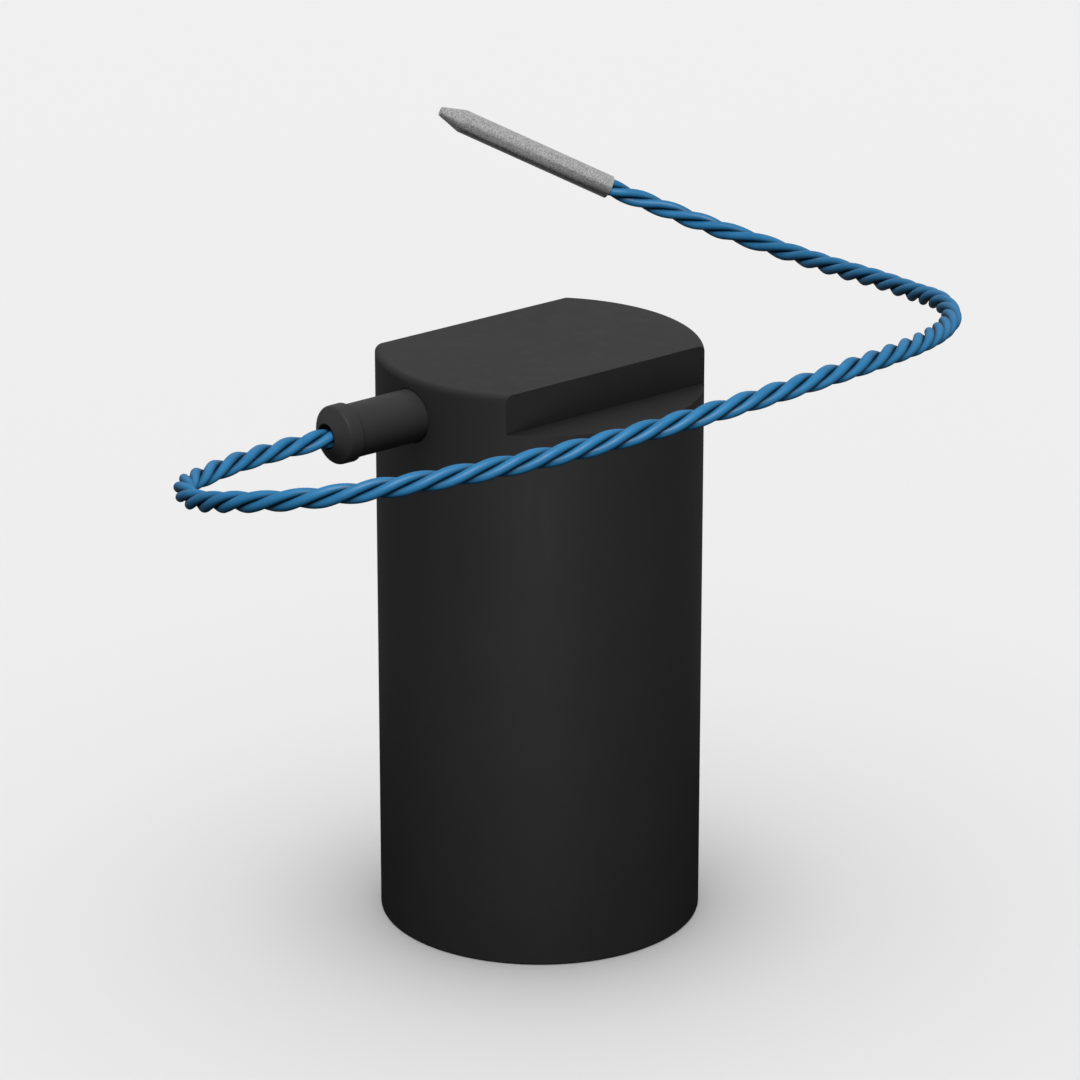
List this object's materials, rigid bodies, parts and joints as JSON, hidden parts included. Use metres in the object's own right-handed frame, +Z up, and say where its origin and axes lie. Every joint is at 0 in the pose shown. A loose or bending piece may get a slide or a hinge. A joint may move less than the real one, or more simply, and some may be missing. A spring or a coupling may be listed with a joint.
{
  "type": "soil moisture sensor",
  "caption": "Wireless soil moisture sensor: sealed cylindrical battery housing with spanner flats, a side spigot and a twisted lead ending in a metal probe pin.",
  "frame": {"origin": "centre of the housing's flat underside", "axes": "+Z up along the housing's axis, -X along the lead's spigot, +Y and -Y out of the spanner flats"},
  "size_m": [0.1222, 0.1055, 0.0871],
  "materials": {
    "housing": "fine satin moulding",
    "cap": "fine satin moulding",
    "spigot": "smooth turned nylon",
    "seal_rubber": "matte",
    "potting": "cured resin",
    "wire_blue": "smooth insulation",
    "wire_red": "smooth insulation",
    "wire_black": "smooth insulation",
    "pin_steel": "bead blasted",
    "bead": "glazed bead",
    "copper": "bare drawn copper",
    "carrier_plastic": "fine moulding",
    "board": "solder resist",
    "tinned_steel": "tin plate",
    "chip": "moulded epoxy",
    "block_green": "smooth moulding",
    "nickel": "nickel plate",
    "cell_wrap": "shrink sleeve"
  },
  "bodies": {
    "housing": {"housing_shell": "housing", "spigot": "spigot", "spigot_oring": "seal_rubber", "lead_seal": "potting", "carrier": "carrier_plastic", "circuit_board": "board", "radio_board": "board", "radio_shield": "tinned_steel", "microcontroller": "chip", "crystal": "tinned_steel", "supply_capacitor": "tinned_steel", "antenna": "copper", "terminal_block": "block_green", "terminal_screw_1": "nickel", "terminal_screw_2": "nickel", "terminal_screw_3": "nickel", "inner_wire_1": "wire_blue", "inner_wire_2": "wire_blue", "inner_wire_3": "wire_blue", "battery_cell": "cell_wrap", "battery_spring": "nickel", "battery_contact": "nickel", "battery_wire_positive": "wire_red", "battery_wire_negative": "wire_black", "lead": "wire_blue", "probe_sheath": "pin_steel", "probe_end_seal": "potting", "probe_thermistor": "bead", "probe_heater": "copper"},
    "cap": {"base_cap": "cap", "base_cap_oring": "seal_rubber"}
  },
  "joints": [
    {"name": "base_cap_turn", "type": "hinge", "parent": "housing", "child": "cap", "pos_m": [0, 0, 0], "axis": [0, 0, -1], "range_deg": [0, 45]}
  ]
}
